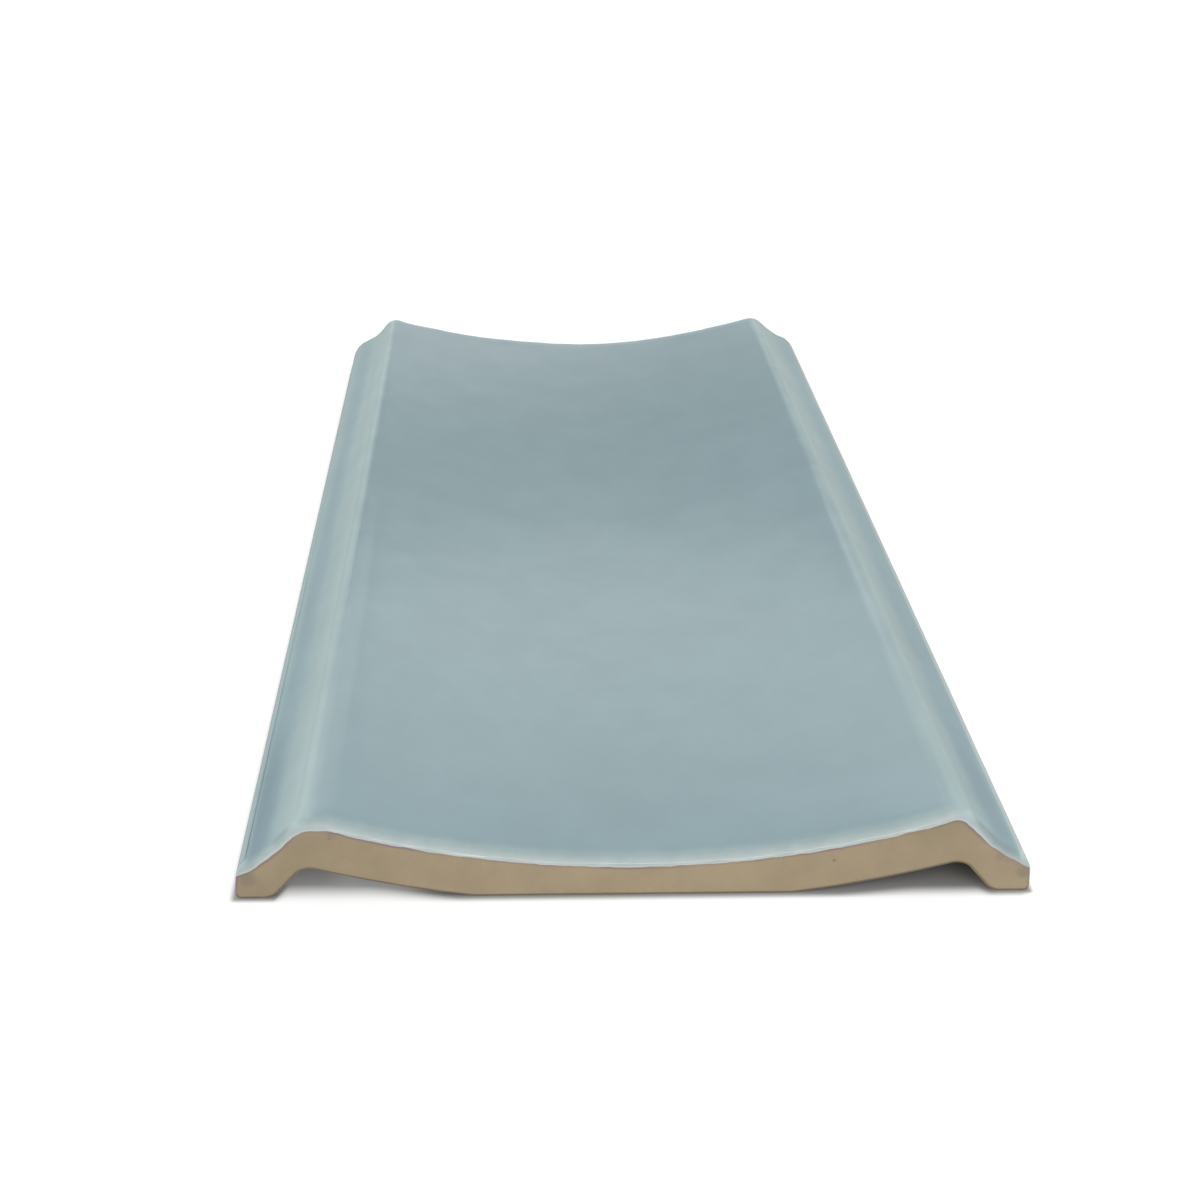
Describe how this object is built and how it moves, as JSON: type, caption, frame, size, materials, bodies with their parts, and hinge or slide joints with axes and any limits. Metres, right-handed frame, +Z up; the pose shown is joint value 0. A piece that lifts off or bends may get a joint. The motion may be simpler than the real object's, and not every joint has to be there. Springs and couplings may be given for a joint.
{
  "type": "ceramic wall tile",
  "caption": "Long rectangular glazed ceramic wall tile with a broad concave face between rounded ridges, falling outer flanges, and open channels under the ridges.",
  "frame": {"origin": "middle of the underside, in the plane of the bed strip and feet", "axes": "+X across the section, +Y along the tile, +Z up out of the glazed face"},
  "size_m": [0.152, 0.304, 0.0178],
  "materials": {
    "glaze": "gloss"
  },
  "bodies": {
    "root": {"wall_tile": "glaze"}
  },
  "joints": []
}
